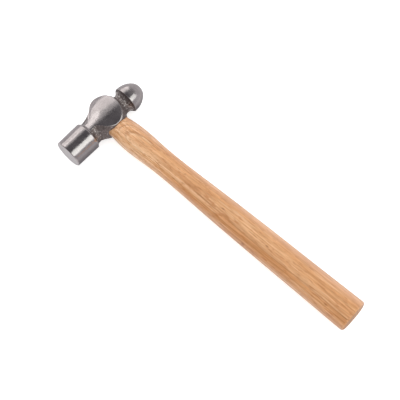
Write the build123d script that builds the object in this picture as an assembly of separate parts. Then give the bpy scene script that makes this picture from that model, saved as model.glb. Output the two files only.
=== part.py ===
"""Ball peen hammer, 0.45 kg class: a forged steel head wedged on an ash handle.

The hammer lies on its side. +X runs down the handle from the head to the butt, +Y points
to the ball end, -Y is the striking face, and +Z is square to the flat of the head.
The pieces are designed about the centre of the eye, where the axis of the head crosses
the axis of the handle. They are shifted at the end, so that the origin is the middle of
the box that the hammer fills, at the height of the surface that it lies on.
"""

import os
from math import copysign, cos, radians, sin, sqrt

from build123d import *

# ------------------------------------------------------------------ driving dimensions, mm
# Poll: the round striking end
FACE_Y = -55.9
FACE_R = 15.0
FACE_BEVEL = 0.7
POLL_BACK_Y = -27.3
POLL_BACK_R = 15.3
POLL_BACK_BEVEL = 0.6
SHOULDER_LENGTH = 6.0       # hollow rear shoulder of the poll, which runs into the neck
SHOULDER_SINK = 0.15        # how far its foot lies below the flats of the neck

# Necks either side of the eye, octagonal in section, as half the width across flats
POLL_NECK_HALF = 12.1
PEEN_NECK_HALF = 10.0
PEEN_NECK_BLEND = 2.5       # hollow blend between the peen neck and the flare

# Peen: the ball end
FLARE_Y = 20.4              # the flare to the rim starts inside the neck
FLARE_R = 8.9
RIM_Y = 25.6                # back of the short land round the rim
RIM_LAND = 1.2
RIM_R = 14.6
DOME_LENGTH = 19.1          # from the land to the tip of the ball

# Eye: the swelled middle of the head
EYE_UNDER_X = 18.2          # flat underside, where the handle enters
EYE_END_Y = 16.6            # where the eye runs into the peen neck
HEAD_HALF_DEPTH = 20.0      # deeper than the head, for cutting

# Outline of the eye seen square to the cheek, as (y, x), from the poll neck to the peen neck
CROWN_LINE = [(-18, -11.4), (-13, -12.4), (-8, -16.4), (-3, -20.1), (3, -21.1), (10, -17.8), (14.5, -12.1)]
UNDER_LINE = [(-18, 12.0), (-11, 15.2), (-4, 19.8), (3, 21.0), (10, 17.2), (14.5, 12.0)]

# Cheeks: polished flats with a round part and a tail that runs out along the poll neck.
# Their outline is drawn at CHEEK_TOP_Z, and the rough flanks fall away from it at 45 degrees.
CHEEK_Z = 14.1              # half thickness of the head at the crown of the cheeks
CHEEK_TOP_Z = 14.4
CHEEK_ACROSS_R = 44.0       # roundness of a cheek, seen along the head
CHEEK_ALONG_R = 175.0       # roundness of a cheek, seen along the handle
CHEEK_DISC = (-1.4, -0.5)   # x, y of the centre of the round part
CHEEK_DISC_R = 15.2
CHEEK_THROAT_ANGLE = 47     # slope of the throat between the round part and the tail
CHEEK_TAIL_HALF = 2.4       # half width of the tail
FLANK_SLOPE = 45

# Eye hole: an oval that narrows to a waist and flares again towards the crown,
# as (x, length along the head, width across it)
HOLE_OVALS = [(EYE_UNDER_X + 1, 22.8, 14.6), (2.0, 21.0, 13.4), (-24.0, 23.6, 14.6)]

# Handle
SHOULDER_X = 14.5           # the shoulder starts here, and is scribed to the underside of the head
TONGUE_TOP_X = -23.0        # end of the tongue before it is dressed to the crown
WOOD_PROUD = 0.5            # how far the dressed wood stands out of the eye
BUTT_X = 312.3
BUTT_EDGE_LENGTH = 2.2      # the butt's edge is rounded over this length,
BUTT_EDGE_ACROSS = 3.0      # by this much on the two sides
BUTT_EDGE_THROUGH = 1.5     # and by this much above and below
BUTT_EDGE_STEPS = 4
OVAL_POWER = 2.4            # 2 is an ellipse, more is squarer
OVAL_POINTS = 24
# sections below the tongue, as (x, width along the head, thickness across it)
HANDLE_OVALS = [
    (SHOULDER_X, 24.6, 16.2),
    (30.0, 27.6, 20.6),
    (44.0, 28.3, 21.6),
    (58.0, 27.0, 21.3),
    (72.0, 25.6, 20.9),
    (90.0, 25.1, 20.6),
    (112.0, 25.8, 20.8),
    (140.0, 27.4, 21.4),
    (170.0, 28.8, 21.9),
    (205.0, 29.8, 22.5),
    (240.0, 30.4, 23.0),
    (276.0, 31.1, 23.4),
    (BUTT_X - BUTT_EDGE_LENGTH, 31.8, 23.8),
]

# Wedges, driven into the tongue from the crown. Each tapers from its back to its tip.
WOOD_WEDGE = {"length": 25.0, "width": 30.0, "back": 3.0, "tip": 0.8}
STEEL_WEDGE = {"length": 16.0, "width": 10.5, "back": 2.2, "tip": 0.6}
STEEL_WEDGE_Y = 5.6         # each side of the middle of the eye
STEEL_PROUD = 0.25          # driven a little below the wood


# ------------------------------------------------------------------ helpers
def oval(x, width, thickness):
    """A superellipse in the plane square to the handle at x."""
    points = []
    for step in range(OVAL_POINTS):
        angle = radians(360 * step / OVAL_POINTS)
        y = copysign(abs(cos(angle)) ** (2 / OVAL_POWER), cos(angle)) * width / 2
        z = copysign(abs(sin(angle)) ** (2 / OVAL_POWER), sin(angle)) * thickness / 2
        points.append((x, y, z))
    return make_face(Spline(*points, periodic=True))


def octagon_bar(half, y0, y1):
    """An octagonal bar along the head, with flats square to X and to Z."""
    section = RegularPolygon(half, 8, major_radius=False, rotation=22.5)
    return Pos(0, y0, 0) * Rot(-90, 0, 0) * extrude(section, y1 - y0)


def edges_between(solid, y0, y1):
    """The edges that lie wholly between two stations along the head."""
    return [
        edge
        for edge in solid.edges()
        if edge.bounding_box().min.Y > y0 and edge.bounding_box().max.Y < y1
    ]


def between(solid, x0, x1):
    """The stretch of a solid between two stations along the handle."""
    beyond = split(solid, Plane.YZ.offset(x0), keep=Keep.TOP)
    return split(beyond, Plane.YZ.offset(x1), keep=Keep.BOTTOM)


def tapered_wedge(size, across):
    """A wedge whose back is at x = 0 and whose tip points down the handle."""
    half_back = size["back"] / 2
    half_tip = size["tip"] / 2
    outline = Polyline(
        (0, -half_back), (size["length"], -half_tip), (size["length"], half_tip), (0, half_back),
        close=True,
    )
    wedge = extrude(make_face(outline), size["width"] / 2, both=True)
    return wedge if across else Rot(90, 0, 0) * wedge


# ------------------------------------------------------------------ head
def poll():
    """The striking end, turned, with a hollow shoulder that runs into the neck."""
    front = Polyline(
        (0, FACE_Y),
        (FACE_R - FACE_BEVEL, FACE_Y),
        (FACE_R, FACE_Y + FACE_BEVEL),
        (POLL_BACK_R, POLL_BACK_Y - POLL_BACK_BEVEL),
        (POLL_BACK_R - POLL_BACK_BEVEL, POLL_BACK_Y),
    )
    foot = (POLL_NECK_HALF - SHOULDER_SINK, POLL_BACK_Y + SHOULDER_LENGTH)
    shoulder = Spline(front @ 1, foot, tangents=[(-1, 0.8), (0, 1)])
    core = Polyline(foot, (0, foot[1]), (0, FACE_Y))
    return revolve(make_face(front + shoulder + core), Axis.Y, 360)


def peen():
    """The ball end: a flare, a short land and a dome."""
    land_end = RIM_Y + RIM_LAND
    back = Polyline((0, FLARE_Y), (FLARE_R, FLARE_Y), (RIM_R, RIM_Y), (RIM_R, land_end))
    halfway = (RIM_R * cos(radians(45)), land_end + DOME_LENGTH * sin(radians(45)))
    tip = (0, land_end + DOME_LENGTH)
    dome = Spline(back @ 1, halfway, tip, tangents=[(0, 1), (-1, 0)])
    return revolve(make_face(back + dome + Line(tip, back @ 0)), Axis.Y, 360)


def eye_slab():
    """The side outline of the eye and the poll neck, cut through the full depth."""
    along = [(0, 1), (0, 1)]
    crown_points = [(x, y) for y, x in CROWN_LINE]
    under_points = [(x, y) for y, x in UNDER_LINE]
    crown = Spline(
        (-POLL_NECK_HALF, POLL_BACK_Y), *crown_points, (-PEEN_NECK_HALF, EYE_END_Y), tangents=along
    )
    under = Spline(
        (POLL_NECK_HALF, POLL_BACK_Y), *under_points, (PEEN_NECK_HALF, EYE_END_Y), tangents=along
    )
    ends = Line(crown @ 0, under @ 0) + Line(crown @ 1, under @ 1)
    slab = extrude(make_face(crown + under + ends), HEAD_HALF_DEPTH, both=True)
    return between(slab, -HEAD_HALF_DEPTH * 2, EYE_UNDER_X)


def cheek_round():
    """Outline of the round part of a cheek, with the throat that leads to the tail."""
    cx, cy = CHEEK_DISC
    slope = radians(CHEEK_THROAT_ANGLE)
    reach_x = CHEEK_DISC_R * cos(slope)
    touch_y = cy - CHEEK_DISC_R * sin(slope)
    point = (cx, cy - CHEEK_DISC_R / sin(slope))
    arc = ThreePointArc((cx - reach_x, touch_y), (cx, cy + CHEEK_DISC_R), (cx + reach_x, touch_y))
    return make_face(Line(point, arc @ 0) + arc + Line(arc @ 1, point))


def cheek_tail():
    """Outline of the tail, from the round part to inside the poll."""
    length = CHEEK_DISC[1] - POLL_BACK_Y
    return Pos(0, POLL_BACK_Y + length / 2, 0) * Rectangle(2 * CHEEK_TAIL_HALF, length)


def cheek_flanks():
    """Both cheeks, spread outwards down the flanks to the middle of the head."""
    halves = []
    for outline in (cheek_round(), cheek_tail()):
        raised = Pos(0, 0, CHEEK_TOP_Z) * outline
        upper = extrude(raised, CHEEK_TOP_Z, dir=(0, 0, -1), taper=-FLANK_SLOPE)
        halves += [upper, mirror(upper, Plane.XY)]
    return halves[0] + halves[1:]


def cheek_crowns():
    """What lies under both crowned cheeks: two wide barrels that cross."""
    half = 2 * CHEEK_DISC_R
    drop = CHEEK_ALONG_R - sqrt(CHEEK_ALONG_R**2 - half**2)
    crown = ThreePointArc(
        (CHEEK_ACROSS_R - drop, -half), (CHEEK_ACROSS_R, 0), (CHEEK_ACROSS_R - drop, half)
    )
    sides = Polyline(crown @ 1, (0, half), (0, -half), crown @ 0)
    barrel = revolve(make_face(crown + sides), Axis.Y, 360)
    sink = CHEEK_ACROSS_R - CHEEK_Z
    return (Pos(0, CHEEK_DISC[1], -sink) * barrel) & (Pos(0, CHEEK_DISC[1], sink) * barrel)


def eye_hole():
    return loft([oval(x, length, width) for x, length, width in HOLE_OVALS])


def head_blank():
    """The forging before its eye is punched: poll, neck, eye, neck and peen in one solid."""
    eye = eye_slab() & cheek_flanks() & cheek_crowns()
    ball_end = octagon_bar(PEEN_NECK_HALF, CHEEK_DISC[1], FLARE_Y + 2) + peen()
    ball_end = fillet(edges_between(ball_end, FLARE_Y, RIM_Y), PEEN_NECK_BLEND)
    return eye + poll() + ball_end


# ------------------------------------------------------------------ handle and wedges
def grip():
    """The handle outside the head, from its shoulder to the rounded edge of the butt."""
    x, width, thickness = HANDLE_OVALS[-1]
    edge = []
    for step in range(BUTT_EDGE_STEPS + 1):
        angle = radians(90 * step / BUTT_EDGE_STEPS)
        inset = 2 * (1 - cos(angle))
        edge.append(
            oval(
                x + BUTT_EDGE_LENGTH * sin(angle),
                width - BUTT_EDGE_ACROSS * inset,
                thickness - BUTT_EDGE_THROUGH * inset,
            )
        )
    shaft = loft([oval(*section) for section in HANDLE_OVALS])
    return shaft + loft(edge, ruled=True)


def dressed(solid, proud):
    """What is left of a solid in the eye hole when its end is dressed to the crown of the head."""
    in_hole = solid & eye_hole()
    below = between(in_hole, 0, EYE_UNDER_X)
    above = between(in_hole, TONGUE_TOP_X, 0)
    return below + (above & Pos(-proud, 0, 0) * eye_slab())


def pieces():
    """Every piece by name, designed about the centre of the eye."""
    blank = head_blank()
    kerf = Pos(TONGUE_TOP_X, 0, 0) * tapered_wedge(WOOD_WEDGE, across=False)
    slots = [
        Pos(TONGUE_TOP_X, side * STEEL_WEDGE_Y, 0) * tapered_wedge(STEEL_WEDGE, across=True)
        for side in (-1, 1)
    ]
    tongue = dressed(eye_hole(), WOOD_PROUD) - kerf - slots
    wooden_wedge = dressed(kerf, WOOD_PROUD) - slots
    steel = [dressed(slot, STEEL_PROUD) for slot in slots]
    return {
        "head": blank - eye_hole(),
        "handle": (grip() - blank) + tongue,
        "wooden_wedge": wooden_wedge,
        "steel_wedges": steel[0] + steel[1],
    }


def write(parts):
    """Shift the hammer onto its resting place and write one STEP file for each piece."""
    os.makedirs("parts", exist_ok=True)
    boxes = [piece.bounding_box() for piece in parts.values()]
    middle_x = (min(box.min.X for box in boxes) + max(box.max.X for box in boxes)) / 2
    middle_y = (min(box.min.Y for box in boxes) + max(box.max.Y for box in boxes)) / 2
    lowest = min(box.min.Z for box in boxes)
    for name, piece in parts.items():
        export_step(Pos(-middle_x, -middle_y, -lowest) * piece, f"parts/{name}.step")


if __name__ == "__main__":
    write(pieces())
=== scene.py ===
"""The looks of the ball peen hammer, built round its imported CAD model.

The head is remeshed from its CAD solid, so that its forged edges soften and its forged skin
gets real relief. The poll and the ball stay true, and the cheeks lean and roll over a little
on the crown's side. The handle and the wedges keep their CAD shape. Unless a comment says
otherwise, lengths are millimetres about the centre of the eye: x runs down the handle, y to
the ball end and z out of the upper cheek. A pair of lengths is where something sets in and
where it is complete.
"""

from math import cos, pi, radians, sin, tan

import bmesh
import bpy
import numpy as np
from mathutils import Matrix, Vector, noise


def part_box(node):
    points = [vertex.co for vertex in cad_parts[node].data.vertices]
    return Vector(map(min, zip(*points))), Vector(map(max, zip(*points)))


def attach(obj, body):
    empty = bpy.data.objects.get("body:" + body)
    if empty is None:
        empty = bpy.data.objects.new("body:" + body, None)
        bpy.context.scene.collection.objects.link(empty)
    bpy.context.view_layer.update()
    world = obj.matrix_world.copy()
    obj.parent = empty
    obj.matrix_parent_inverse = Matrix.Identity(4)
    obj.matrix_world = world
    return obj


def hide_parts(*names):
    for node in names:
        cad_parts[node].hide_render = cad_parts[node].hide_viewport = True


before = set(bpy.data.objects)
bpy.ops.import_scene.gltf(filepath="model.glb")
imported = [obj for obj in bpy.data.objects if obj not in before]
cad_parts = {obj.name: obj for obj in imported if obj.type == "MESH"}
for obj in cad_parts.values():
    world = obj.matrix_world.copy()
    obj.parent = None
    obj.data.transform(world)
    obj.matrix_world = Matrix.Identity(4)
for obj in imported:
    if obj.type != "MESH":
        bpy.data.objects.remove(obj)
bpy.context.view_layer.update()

MM = 0.001

# ------------------------------------------------------------------ the object
# Middle of the eye in the frame, from the boxes of the head and the handle
HEAD_LOW, HEAD_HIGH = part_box("head")
_, HANDLE_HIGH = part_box("handle")
BUTT_FROM_EYE = 312.3 * MM
EYE_FROM_HEAD_MIDDLE = 5.0 * MM
EYE_HEIGHT = 15.3 * MM
EYE = Vector((
    HANDLE_HIGH.x - BUTT_FROM_EYE,
    (HEAD_LOW.y + HEAD_HIGH.y) / 2 + EYE_FROM_HEAD_MIDDLE,
    EYE_HEIGHT,
))

# Head
POLL_BACK_Y = -27.3
RIM_Y = 25.6
CHEEK_Z = 14.1
CHEEK_TOP_Z = 14.4
CHEEK_ACROSS_R = 44.0
CHEEK_ALONG_R = 175.0
CHEEK_DISC = (-1.4, -0.5)
CHEEK_DISC_R = 15.2
CHEEK_THROAT_ANGLE = radians(47)
CHEEK_TAIL_HALF = 2.4
CHEEK_SIDE = (6, 9)         # height above which a cheek counts as one
GRIND_EDGE = 0.15           # half width of the blend from ground steel to forge skin

# The flank below a cheek is ground too, over a crescent: its middle and half extent in degrees
# round the disc from +X towards +Y, and how far it reaches down the flank
CHAMFER_MIDDLE = 17.0
CHAMFER_HALF = 48.0
CHAMFER_DEPTH = 0.7
CROWN_CHAMFER_DEPTH = 2.5   # the same on the crown's side, towards the ball
CROWN_CHAMFER_X = (-4, -9)
CROWN_CHAMFER_Y = (-9, -2)

# The tail of a cheek leans towards the crown: how steeply, and how far down the flank it goes on
TAIL_LEAN = 0.07
TAIL_LEAN_REACH = 6.0
TAIL_LEAN_Y = (-5, -12)
TAIL_LEAN_CLEAR = (0, 3)    # in front of the back of the poll
# The shoulder of a cheek rolls over towards the crown: over this width, by this much per square mm
CROWN_ROUND = 3.0
CROWN_ROUND_DROP = 0.08
CROWN_ROUND_X = (-3, -8)
CROWN_ROUND_Y = (3, -5)
CROWN_ROUND_CLEAR = (6, 10)
SHAPED_SIDE = (4, 10)       # height above which the lean and the roll take hold
# Beside the tail the grinding only just catches the flank, on the crown's side
THROAT_SHARE = 0.55
THROAT_REACH = 5.0
THROAT_FADE = 2
THROAT_Y = (-6, -10)
THROAT_SIDE = (5, 8)

# Remeshing
VOXEL = 0.42 * MM
FORGED_ROUNDS = 12
GROUND_ROUNDS = 4
SOFTENING = 0.5
KEPT_MARGIN = 0.7           # how far inside a ground face the softening has ended

# Relief of the forge skin: fine and coarse, and how far the skin lies below the ground faces
SKIN_FINE = 0.06
SKIN_COARSE = 0.12
SKIN_SINK = 0.08

# Where the grinding lines run round the head, where painted shade darkens the forge skin in the undercut
# under the ball's rim, and where the skin shows wear, with painted light added beside the rim on the
# crown's side
TURNED_POLL_Y = (-26.0, -28.0)
TURNED_BALL_Y = (24.0, 26.0)
PAINTED_UNDERCUT_SHADE_Y = (23.3, 25.2)
WORN_POLL_Y = (-14, -22)
WORN_BALL_Y = (14, 18)
# the rim patch is painted light: the ball's neck beside the rim, on the crown's side, brightened as if lit
# from above
PAINTED_LIGHT_RIM_Y = (18, 21)
PAINTED_LIGHT_RIM_X = (0, -6)

# The growth rings sweep away from the handle's axis, as (from x, to x, rise) in metres of the frame
SWEEP = [(-0.115, -0.05, 0.0010), (-0.055, 0.166, -0.0012)]

# Pin knots of the handle, as (x, y), and one over their half length and half width, per metre
KNOTS = [(159, -1.5), (194, -14), (214, -3), (288, -10)]
KNOT_SHAPE = (330.0, 900.0, 0.0)

# ------------------------------------------------------------------ view and light
CAMERA_AT = (0.2411, -0.1935, 0.7144)
CAMERA_RIGHT = (0.7311, 0.6777, -0.0788)
CAMERA_UP = (-0.5969, 0.6914, 0.4071)
CAMERA_LENS = 72.67
LAMP_REACH = 1.3
WARM = (1.02, 1.0, 0.985)       # tint of the long lamp on the crown's side
NEUTRAL = (0.97, 1.03, 1.0)     # takes the pink out of the steel's brightest bands


# ------------------------------------------------------------------ materials: helpers
class Graph:
    """The node tree of a material or world, with short calls for adding and wiring nodes."""

    def __init__(self, owner, coordinates="Object"):
        owner.use_nodes = True
        self.owner = owner
        self.tree = owner.node_tree
        self.tree.nodes.clear()
        self.place = self.add("ShaderNodeTexCoord").outputs[coordinates]

    def add(self, kind, inputs=None, **settings):
        node = self.tree.nodes.new(kind)
        for name, value in settings.items():
            setattr(node, name, value)
        for name, value in (inputs or {}).items():
            self.plug(node.inputs[name], value)
        return node

    def plug(self, socket, value):
        if isinstance(value, bpy.types.NodeSocket):
            self.tree.links.new(value, socket)
        else:
            socket.default_value = value

    def stretched(self, scale, offset=(0, 0, 0)):
        """The place in the object, times a scale for each axis."""
        inputs = {"Vector": self.place, "Scale": scale, "Location": offset}
        return self.add("ShaderNodeMapping", inputs).outputs["Vector"]

    def noise(self, scale, detail=3.0, roughness=0.5, offset=(0, 0, 0)):
        inputs = {
            "Vector": self.stretched(scale, offset),
            "Scale": 1.0,
            "Detail": detail,
            "Roughness": roughness,
        }
        return self.add("ShaderNodeTexNoise", inputs).outputs["Fac"]

    def math(self, operation, a, b=0.0, c=None):
        inputs = {0: a, 1: b}
        if c is not None:
            inputs[2] = c
        return self.add("ShaderNodeMath", inputs, operation=operation).outputs[0]

    def attribute(self, name):
        return self.add("ShaderNodeAttribute", attribute_name=name).outputs["Fac"]

    def vector(self, operation, a, b):
        return self.add("ShaderNodeVectorMath", {0: a, 1: b}, operation=operation).outputs[0]

    def between(self, value, low, high, to_low=0.0, to_high=1.0):
        """Maps low..high onto to_low..to_high, and holds the ends."""
        inputs = {"Value": value, "From Min": low, "From Max": high, "To Min": to_low, "To Max": to_high}
        node = self.add("ShaderNodeMapRange", inputs, interpolation_type="SMOOTHSTEP")
        return node.outputs["Result"]

    def mix(self, share, first, second, blend="MIX"):
        node = self.add("ShaderNodeMix", data_type="RGBA", blend_type=blend)
        for index, value in ((0, share), (6, first), (7, second)):
            if isinstance(value, tuple):
                value = (*value, 1.0)
            self.plug(node.inputs[index], value)
        return node.outputs[2]

    def ramp(self, value, stops):
        node = self.add("ShaderNodeValToRGB", {"Fac": value})
        elements = node.color_ramp.elements
        while len(elements) < len(stops):
            elements.new(0.5)
        for element, (position, colour) in zip(elements, stops):
            element.position = position
            element.color = (*colour, 1.0)
        return node.outputs["Color"]

    def finish(self, colour, roughness, normal=None, **fixed):
        """The shader and the output. fixed are values that are the same all over."""
        inputs = {"Base Color": colour, "Roughness": roughness}
        if normal is not None:
            inputs["Normal"] = normal
        shader = self.add("ShaderNodeBsdfPrincipled", inputs)
        for name, value in fixed.items():
            self.plug(shader.inputs[name.replace("_", " ")], value)
        self.add("ShaderNodeOutputMaterial", {"Surface": shader.outputs["BSDF"]})
        return self.owner

    def bump(self, height, distance, strength=1.0, under=None):
        inputs = {"Height": height, "Distance": distance, "Strength": strength}
        if under is not None:
            inputs["Normal"] = under
        return self.add("ShaderNodeBump", inputs).outputs["Normal"]


# ------------------------------------------------------------------ materials
def head_steel():
    """Forged steel: ground and polished where "polish" is 1, dark forge skin where it is 0."""
    g = Graph(bpy.data.materials.new("head_steel"))
    polish = g.attribute("polish")
    turned = g.attribute("turned")
    painted_undercut_shade = g.attribute("painted_undercut_shade")

    # ground faces: fine grinding lines over faint clouds
    clouds = g.noise((130, 130, 130), detail=4)
    around = g.noise((260, 5200, 260), detail=2)
    along = g.noise((5200, 260, 3000), detail=2, offset=(3, 1, 7))
    lines = g.mix(turned, along, around)
    ground = g.ramp(clouds, [(0.3, (0.52, 0.475, 0.465)), (0.7, (0.62, 0.57, 0.56))])
    ground = g.mix(g.between(lines, 0.3, 0.7, 0.0, 0.38), ground, (0.42, 0.385, 0.385))
    ground_rough = g.between(clouds, 0.25, 0.75, 0.15, 0.22)

    # forge skin: dark scale, scuffed through to brighter steel on its high spots; beside the ball's rim on
    # the crown's side the same brightening is painted light
    pits = g.noise((620, 620, 620), detail=5, roughness=0.62)
    rubbed_and_lit = g.math("MULTIPLY_ADD", g.attribute("wear_and_painted_light"), 0.07, pits)
    scale = g.noise((210, 210, 210), detail=4, roughness=0.6, offset=(5, 2, 9))
    skin = g.ramp(scale, [(0.3, (0.13, 0.102, 0.096)), (0.7, (0.21, 0.172, 0.165))])
    bare_and_lit = g.between(rubbed_and_lit, 0.56, 0.72)
    skin = g.mix(bare_and_lit, skin, (0.5, 0.46, 0.44))
    # painted shade: the forge skin is darkened in the undercut under the ball's rim
    skin = g.mix(g.math("MULTIPLY", painted_undercut_shade, 0.7), skin, (0.06, 0.042, 0.037))
    skin_rough = g.between(pits, 0.4, 0.7, 0.5, 0.36)

    colour = g.mix(polish, skin, ground)
    rough = g.mix(polish, skin_rough, ground_rough)
    relief = g.bump(pits, 0.25 * MM, g.between(polish, 0.0, 1.0, 0.8, 0.03))
    relief = g.bump(lines, 0.02 * MM, g.between(polish, 0.0, 1.0, 0.0, 0.6), relief)
    ripple = g.noise((230, 330, 230), detail=4, roughness=0.6, offset=(6, 3, 1))
    relief = g.bump(ripple, 0.17 * MM, g.between(polish, 0.0, 1.0, 0.0, 1.0), relief)
    metal = g.between(polish, 0.0, 1.0, 0.7, 1.0)
    return g.finish(colour, rough, relief, Metallic=metal)


def wood(name, tilt, spacing, tint=(1.0, 1.0, 1.0), sweep=(), knots=()):
    """Ash, sawn so that the growth rings run along it and arch where it swells."""
    g = Graph(bpy.data.materials.new(name))
    drift = g.add(
        "ShaderNodeTexNoise", {"Vector": g.stretched((7, 45, 45)), "Scale": 1.0, "Detail": 3.0}
    ).outputs["Color"]
    drift = g.vector("SUBTRACT", drift, (0.5, 0.5, 0.5))
    drift = g.vector("MULTIPLY", drift, (0.0, 0.0012, 0.0012))
    pith = g.add(
        "ShaderNodeMapping", {"Vector": g.place, "Location": (0.0, -0.0075, 0.03024), "Rotation": tilt}
    ).outputs["Vector"]
    pith = g.vector("MULTIPLY", g.vector("ADD", pith, drift), (0.0, 1.0, 1.0))
    radius = g.add("ShaderNodeVectorMath", {0: pith}, operation="LENGTH").outputs["Value"]
    along, side, _ = g.add("ShaderNodeSeparateXYZ", {"Vector": g.place}).outputs
    for start, end, rise in sweep:
        radius = g.math("ADD", radius, g.between(along, start, end, 0.0, rise))
    rings = g.math("FRACT", g.math("DIVIDE", radius, spacing))

    # each ring starts with a dark line of open pores and a pale band, and then turns plain
    dark, plain, pale = (0.54, 0.23, 0.08), (0.84, 0.44, 0.20), (1.0, 0.68, 0.40)
    colour = g.ramp(
        rings, [(0.0, dark), (0.1, dark), (0.22, pale), (0.42, plain), (0.85, plain), (1.0, dark)]
    )
    clouds = g.noise((12, 70, 70), detail=3)
    clouds = g.ramp(clouds, [(0.3, (0.76, 0.37, 0.15)), (0.7, (0.90, 0.49, 0.235))])
    plain_share = g.math(
        "MULTIPLY", g.between(along, -0.1, -0.05, 0.2, 0.75), g.between(side, -0.001, 0.005, 0.45, 1.0)
    )
    colour = g.mix(plain_share, colour, clouds)

    # the wood is paler just under the head
    throat = g.math(
        "MULTIPLY", g.between(side, 0.006, -0.002, 0.0, 0.4), g.between(along, -0.045, -0.085)
    )
    colour = g.mix(throat, colour, (1.0, 0.68, 0.42))

    # pale and dark streaks, short dashes, fibres and open pores run along the grain
    streaks = g.noise((14, 420, 420), detail=4, roughness=0.65, offset=(1, 8, 3))
    colour = g.mix(g.between(streaks, 0.5, 0.6, 0.0, 0.6), colour, (0.60, 0.25, 0.08))
    colour = g.mix(g.between(streaks, 0.47, 0.36, 0.0, 0.6), colour, (1.0, 0.68, 0.43))
    dashes = g.noise((110, 600, 600), detail=3, roughness=0.65, offset=(2, 5, 6))
    colour = g.mix(g.between(dashes, 0.55, 0.63, 0.0, 0.75), colour, (0.56, 0.21, 0.06))
    fibres = g.noise((60, 1500, 1500), detail=4, roughness=0.6)
    colour = g.mix(g.between(fibres, 0.4, 0.65, 0.0, 0.45), colour, (0.48, 0.22, 0.085))
    pores = g.noise((70, 1900, 1900), detail=2, offset=(4, 4, 4))
    in_early = g.between(rings, 0.3, 0.0, 0.35, 1.0)
    open_pores = g.math("MULTIPLY", g.between(pores, 0.6, 0.68), in_early)
    colour = g.mix(g.math("MULTIPLY", open_pores, 0.65), colour, (0.24, 0.095, 0.035))

    # painted shade darkens the wood on the side of the face, and a painted sheen makes it paler and pinker
    # on the side of the ball
    painted_face_side_shade = g.math("MULTIPLY", g.between(side, 0.007, -0.007), g.between(along, -0.07, -0.01))
    colour = g.mix(painted_face_side_shade, colour, (0.88, 0.82, 0.76), "MULTIPLY")
    # painted sheen: paler and pinker towards the side of the ball
    colour = g.mix(g.between(side, 0.008, 0.019, 0.0, 0.4), colour, (0.87, 0.585, 0.455))
    for knot_x, knot_y in knots:
        at = (EYE.x + knot_x * MM, EYE.y + knot_y * MM, 0.0)
        away = g.vector("MULTIPLY", g.vector("SUBTRACT", g.place, at), KNOT_SHAPE)
        distance = g.add("ShaderNodeVectorMath", {0: away}, operation="LENGTH").outputs["Value"]
        colour = g.mix(g.between(distance, 1.0, 0.2, 0.0, 0.8), colour, (0.36, 0.12, 0.035))

    # end grain drinks in the lacquer and looks darker
    facing = g.add("ShaderNodeTexCoord").outputs["Normal"]
    facing_x = g.math("ABSOLUTE", g.add("ShaderNodeSeparateXYZ", {"Vector": facing}).outputs["X"])
    end_grain = g.between(facing_x, 0.85, 0.98, 0.0, 0.3)
    colour = g.mix(end_grain, colour, (0.36, 0.17, 0.07))
    colour = g.mix(1.0, colour, tint, "MULTIPLY")

    rough = g.between(fibres, 0.3, 0.7, 0.34, 0.48)
    relief = g.bump(fibres, 0.04 * MM, 0.4)
    relief = g.bump(g.math("SUBTRACT", 1.0, open_pores), 0.06 * MM, 0.6, relief)
    return g.finish(colour, rough, relief, Coat_Weight=0.5, Coat_Roughness=0.2, Coat_IOR=1.5)


def wedge_steel():
    """Mild steel strip, hammered in: dull, with bright dents."""
    g = Graph(bpy.data.materials.new("wedge_steel"))
    grain = g.noise((400, 1500, 400), detail=3)
    dents = g.noise((700, 700, 700), detail=2)
    colour = g.ramp(grain, [(0.3, (0.16, 0.15, 0.15)), (0.75, (0.34, 0.33, 0.32))])
    rough = g.between(grain, 0.3, 0.7, 0.35, 0.55)
    return g.finish(colour, rough, g.bump(dents, 0.15 * MM, 0.7), Metallic=1.0)


# ------------------------------------------------------------------ head
def throat_distance(x, y):
    """Distance outside the outline of a cheek: a disc, its throat and its tail."""
    disc_x, disc_y = CHEEK_DISC
    slope = CHEEK_THROAT_ANGLE
    apex_y = disc_y - CHEEK_DISC_R / sin(slope)
    across = np.abs(x - disc_x)
    beyond = y - apex_y
    reach = across * sin(slope) + beyond * cos(slope)
    to_disc = np.hypot(across, y - disc_y) - CHEEK_DISC_R
    to_side = across * cos(slope) - beyond * sin(slope)
    to_point = np.hypot(across, beyond)
    full = cos(slope) * CHEEK_DISC_R / sin(slope)
    rounded = np.where(reach < 0, to_point, np.where(reach > full, to_disc, to_side))
    tail = np.maximum(np.abs(x) - CHEEK_TAIL_HALF, y - disc_y)
    return np.minimum(rounded, tail)


def soft_step(value, low, high):
    """0 at low, 1 at high, with a smooth ramp between. low may be above high."""
    share = np.clip((value - low) / (high - low), 0, 1)
    return share * share * (3 - 2 * share)


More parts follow.
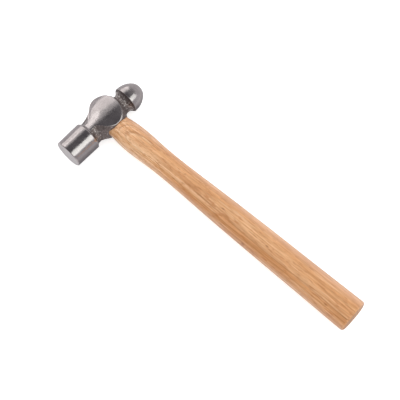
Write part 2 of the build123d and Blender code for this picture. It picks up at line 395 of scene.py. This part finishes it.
def ground_share(points, margin=0.0):
    """1 on the ground faces of the head and 0 on its forge skin, for points about the eye in mm."""
    x, y, z = points.T
    outside = throat_distance(x, y)
    drop = (x * x) / (2 * CHEEK_ACROSS_R) + (y - CHEEK_DISC[1]) ** 2 / (2 * CHEEK_ALONG_R)
    cheek_height = CHEEK_Z - drop
    flank_height = CHEEK_TOP_Z - outside + margin
    around = np.degrees(np.arctan2(y - CHEEK_DISC[1], x - CHEEK_DISC[0]))
    chamfer = CHAMFER_DEPTH * soft_step(np.abs(around - CHAMFER_MIDDLE), CHAMFER_HALF, 0)
    chamfer += CROWN_CHAMFER_DEPTH * soft_step(x, *CROWN_CHAMFER_X) * soft_step(y, *CROWN_CHAMFER_Y)
    cheek = soft_step(flank_height - cheek_height + chamfer, -GRIND_EDGE, GRIND_EDGE)
    cheek = cheek * soft_step(np.abs(z), *CHEEK_SIDE)
    throat_x = -CHEEK_TAIL_HALF - THROAT_REACH
    throat = soft_step(x, throat_x - THROAT_FADE, throat_x)
    throat = THROAT_SHARE * throat * (x < 0) * soft_step(y, *THROAT_Y) * soft_step(np.abs(z), *THROAT_SIDE)
    cheek = np.maximum(cheek, throat)
    poll = soft_step(y, POLL_BACK_Y + 0.5 + margin, POLL_BACK_Y - 0.1 + margin)
    ball = soft_step(y, RIM_Y - 0.1 - margin, RIM_Y + 0.5 - margin)
    return np.maximum(np.maximum(poll, ball), cheek)


def smoothed(points, edges, strength, rounds):
    """Moves each point towards the mean of its neighbours, by its own strength."""
    count = np.bincount(edges.ravel(), minlength=len(points)).astype(float)
    for _ in range(rounds):
        total = np.zeros_like(points)
        for axis in range(3):
            total[:, axis] = np.bincount(edges[:, 0], points[edges[:, 1], axis], len(points))
            total[:, axis] += np.bincount(edges[:, 1], points[edges[:, 0], axis], len(points))
        points = points + strength[:, None] * (total / count[:, None] - points)
    return points


def make_head():
    """The head, remeshed finely: softened and given relief where it is forged, ground elsewhere."""
    head = bpy.data.objects.new("hammer_head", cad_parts["head"].data.copy())
    bpy.context.scene.collection.objects.link(head)
    remesh = head.modifiers.new("remesh", "REMESH")
    remesh.mode = "VOXEL"
    remesh.voxel_size = VOXEL
    evaluated = head.evaluated_get(bpy.context.evaluated_depsgraph_get())
    mesh = bpy.data.meshes.new_from_object(evaluated)
    head.modifiers.clear()
    head.data = mesh
    mesh.name = "hammer_head"

    count = len(mesh.vertices)
    points = np.empty(count * 3)
    mesh.vertices.foreach_get("co", points)
    points = (points.reshape(-1, 3) - np.array(EYE)) / MM
    edges = np.empty(len(mesh.edges) * 2, int)
    mesh.edges.foreach_get("vertices", edges)
    edges = edges.reshape(-1, 2)

    ground = ground_share(points)
    points = smoothed(points, edges, np.full(count, SOFTENING), GROUND_ROUNDS)
    kept = ground_share(points, margin=KEPT_MARGIN)
    points = smoothed(points, edges, SOFTENING * (1 - kept), FORGED_ROUNDS)

    mesh.vertices.foreach_set("co", (points * MM + np.array(EYE)).ravel())
    mesh.update()
    normals = np.empty(count * 3)
    mesh.vertices.foreach_get("normal", normals)
    normals = normals.reshape(-1, 3)
    relief = np.array([
        SKIN_FINE * noise.fractal(Vector(p) * 0.4, 0.7, 2.1, 4)
        + SKIN_COARSE * noise.fractal(Vector(p) * 0.14, 1.0, 2.0, 2)
        for p in points
    ])
    points = points + normals * ((relief - SKIN_SINK) * (1 - ground))[:, None]

    x, y, z = points.T
    lean = TAIL_LEAN * np.clip(CHEEK_TAIL_HALF - x, 0, TAIL_LEAN_REACH)
    before_poll = y - POLL_BACK_Y
    on_side = soft_step(np.abs(z), *SHAPED_SIDE)
    lean *= soft_step(y, *TAIL_LEAN_Y) * soft_step(before_poll, *TAIL_LEAN_CLEAR) * on_side
    crown_edge = np.clip(throat_distance(x, y) + CROWN_ROUND, 0, CROWN_ROUND)
    crown_edge = CROWN_ROUND_DROP * crown_edge**2 * soft_step(x, *CROWN_ROUND_X)
    crown_edge *= soft_step(y, *CROWN_ROUND_Y)
    lean += crown_edge * soft_step(before_poll, *CROWN_ROUND_CLEAR) * on_side
    points[:, 2] -= np.sign(z) * lean

    low = (np.array(HEAD_LOW) - np.array(EYE)) / MM
    high = (np.array(HEAD_HIGH) - np.array(EYE)) / MM
    points = np.clip(points, low, high)
    mesh.vertices.foreach_set("co", (points * MM + np.array(EYE)).ravel())

    x, y, _ = points.T
    turned = np.maximum(soft_step(y, *TURNED_POLL_Y), soft_step(y, *TURNED_BALL_Y))
    # painted shade in the undercut under the ball's rim, on the forge skin only
    painted_undercut_shade = soft_step(y, *PAINTED_UNDERCUT_SHADE_Y) * (1 - ground)
    wear_and_painted_light = np.maximum(soft_step(y, *WORN_POLL_Y), soft_step(y, *WORN_BALL_Y))
    # painted light beside the ball's rim on the crown's side, added to the wear
    wear_and_painted_light += soft_step(y, *PAINTED_LIGHT_RIM_Y) * soft_step(x, *PAINTED_LIGHT_RIM_X)
    wear_and_painted_light *= 1 - painted_undercut_shade
    marks = {"polish": ground, "turned": turned, "painted_undercut_shade": painted_undercut_shade, "wear_and_painted_light": wear_and_painted_light}
    for name, values in marks.items():
        layer = mesh.attributes.new(name, "FLOAT", "POINT")
        layer.data.foreach_set("value", values.astype(np.float32))
    mesh.polygons.foreach_set("use_smooth", [True] * len(mesh.polygons))
    mesh.materials.clear()
    mesh.materials.append(head_steel())
    mesh.update()
    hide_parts("head")
    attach(head, "root")


# ------------------------------------------------------------------ stage
def softbox(name, from_angle, to_angle, from_y, to_y, radiance, colour=(1, 1, 1), seen_in_gloss=True):
    """A long area light beside the head, from_y to to_y in metres. Its angles run from +Z to +X."""
    middle = radians(from_angle + to_angle) / 2
    half = radians(to_angle - from_angle) / 2
    light = bpy.data.lights.new(name, "AREA")
    light.shape = "RECTANGLE"
    light.color = colour
    light.size = to_y - from_y
    light.size_y = 2 * LAMP_REACH * tan(half)
    light.energy = radiance * pi * light.size * light.size_y
    lamp = bpy.data.objects.new(name, light)
    bpy.context.scene.collection.objects.link(lamp)
    away = Vector((sin(middle), 0, cos(middle)))
    lamp.location = EYE + LAMP_REACH * away + Vector((0, (from_y + to_y) / 2, 0))
    lamp.rotation_euler = (-away).to_track_quat("-Z", "Y").to_euler()
    lamp.visible_camera = False
    lamp.visible_glossy = seen_in_gloss


def make_floor():
    bm = bmesh.new()
    bmesh.ops.create_grid(bm, x_segments=1, y_segments=1, size=6.0)
    mesh = bpy.data.meshes.new("floor")
    bm.to_mesh(mesh)
    bm.free()
    floor = bpy.data.objects.new("floor", mesh)
    bpy.context.scene.collection.objects.link(floor)
    g = Graph(bpy.data.materials.new("floor"))
    paper = g.ramp(g.noise((6, 6, 6)), [(0.3, (0.86, 0.86, 0.86)), (0.7, (0.88, 0.88, 0.88))])
    mesh.materials.append(g.finish(
        paper, 0.9, Emission_Color=(1, 1, 1, 1), Emission_Strength=0.6, Specular_IOR_Level=0.1
    ))
    floor.visible_glossy = False


def make_world():
    """A dim studio: dark above, grey around, and paler beyond the ball, the crown and the face."""
    world = bpy.data.worlds.new("studio")
    bpy.context.scene.world = world
    g = Graph(world, "Generated")
    x, y, z = g.add("ShaderNodeSeparateXYZ", {"Vector": g.place}).outputs
    height = g.math("MULTIPLY_ADD", z, 0.5, 0.5)
    room = g.ramp(height, [
        (0.0, (0.24, 0.235, 0.25)), (0.1, (0.32, 0.31, 0.33)), (0.28, (0.55, 0.54, 0.56)),
        (0.5, (0.42, 0.41, 0.43)), (0.66, (0.40, 0.39, 0.41)), (0.82, (0.12, 0.117, 0.128)),
    ])
    ball_wall = g.between(y, 0.27, 0.55, 0.0, 0.13)
    crown_wall = g.between(x, -0.8, -0.97, 0.0, 0.12)
    face_wall = g.math("MULTIPLY", g.between(y, 0.1, -0.22, 0.0, 0.45), g.between(z, 0.2, -0.3))
    walls = g.math("ADD", g.math("ADD", ball_wall, crown_wall), face_wall)
    colour = g.mix(1.0, room, walls, "ADD")
    background = g.add("ShaderNodeBackground", {"Color": colour, "Strength": 1.0})
    g.add("ShaderNodeOutputWorld", {"Surface": background.outputs[0]})


def make_camera():
    camera = bpy.data.objects.new("camera", bpy.data.cameras.new("camera"))
    bpy.context.scene.collection.objects.link(camera)
    right, up = Vector(CAMERA_RIGHT).normalized(), Vector(CAMERA_UP)
    up = (up - up.dot(right) * right).normalized()
    turn = Matrix((right, up, right.cross(up))).transposed()
    camera.matrix_world = Matrix.Translation(CAMERA_AT) @ turn.to_4x4()
    camera.data.lens = CAMERA_LENS
    camera.data.sensor_width = 36.0
    camera.data.clip_start = 0.05
    bpy.context.scene.camera = camera


make_camera()
make_world()
make_floor()
softbox("box_crown", -70, -34, -0.6, 1.3, 0.91, WARM)
softbox("box_crown_edge", -34, -19, -0.6, 1.3, 0.42)
softbox("box_highlight", -46, -34, -0.05, 0.2, 0.8)
softbox("box_butt", 34, 70, -0.6, 0.6, 1.4, NEUTRAL)
softbox("box_butt_far", 36, 68, 0.6, 1.5, 0.9, NEUTRAL)
softbox("fill", -35, 40, -0.8, 0.7, 1.3, seen_in_gloss=False)
bpy.context.scene.view_settings.view_transform = "Standard"

make_head()
handle_wood = wood("ash_handle", (0.0, 0.0, radians(0.2)), 0.85 * MM, sweep=SWEEP, knots=KNOTS)
wedge_wood = wood("wedge_ash", (0.0, radians(4), radians(9)), 1.4 * MM, (0.64, 0.54, 0.45))
for node, material, slot in (
    ("handle", handle_wood, "ash_wood"),
    ("wooden_wedge", wedge_wood, "wedge_wood"),
    ("steel_wedges", wedge_steel(), "wedge_steel"),
):
    for part_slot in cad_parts[node].material_slots:
        part_slot.material = material
